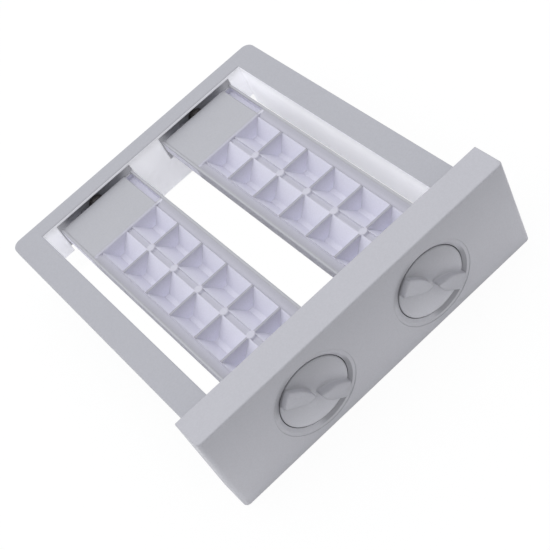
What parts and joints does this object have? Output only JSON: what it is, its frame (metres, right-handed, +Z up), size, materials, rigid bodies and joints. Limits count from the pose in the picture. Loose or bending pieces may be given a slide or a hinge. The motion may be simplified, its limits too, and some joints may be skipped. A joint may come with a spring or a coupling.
{
  "type": "twist ice maker",
  "caption": "Twin twist ice maker: a frame with a front panel, two twelve-cell trays on long axes and a knob for each.",
  "frame": {"origin": "middle of the footprint, on the surface that the unit stands on", "axes": "+X to the right seen from the front, +Y from the front panel to the rear wall, +Z up"},
  "size_m": [0.25, 0.284, 0.075],
  "materials": {
    "panel_grey": "fine satin grain",
    "frame_grey": "fine satin grain",
    "tray_lilac_white": "smooth satin",
    "knob_grey": "smooth satin",
    "bearing_white": "smooth",
    "spring_steel": "oiled wire",
    "pin_steel": "turned"
  },
  "bodies": {
    "frame": {"frame_body": "frame_grey", "front_panel": "panel_grey", "panel_screws": "pin_steel", "left_knob_washer": "bearing_white", "left_front_bush": "bearing_white", "left_rear_bush": "bearing_white", "left_torsion_spring": "spring_steel", "right_knob_washer": "bearing_white", "right_front_bush": "bearing_white", "right_rear_bush": "bearing_white", "right_torsion_spring": "spring_steel"},
    "left_tray_and_knob": {"left_ice_tray": "tray_lilac_white", "left_knob": "knob_grey", "left_drive_spindle": "bearing_white", "left_pivot_pin": "pin_steel", "left_pin_clip": "pin_steel"},
    "right_tray_and_knob": {"right_ice_tray": "tray_lilac_white", "right_knob": "knob_grey", "right_drive_spindle": "bearing_white", "right_pivot_pin": "pin_steel", "right_pin_clip": "pin_steel"}
  },
  "joints": [
    {"name": "left_twist", "type": "hinge", "parent": "frame", "child": "left_tray_and_knob", "pos_m": [-0.04971, 0.0125, 0.0357], "axis": [0, 1, 0], "range_deg": [0, 120], "stiffness_Nm_per_rad": 0.05, "springref_deg": -28.65, "deforming": ["left_torsion_spring"]},
    {"name": "right_twist", "type": "hinge", "parent": "frame", "child": "right_tray_and_knob", "pos_m": [0.04971, 0.0125, 0.0357], "axis": [0, 1, 0], "range_deg": [0, 120], "stiffness_Nm_per_rad": 0.05, "springref_deg": -28.65, "deforming": ["right_torsion_spring"]}
  ]
}
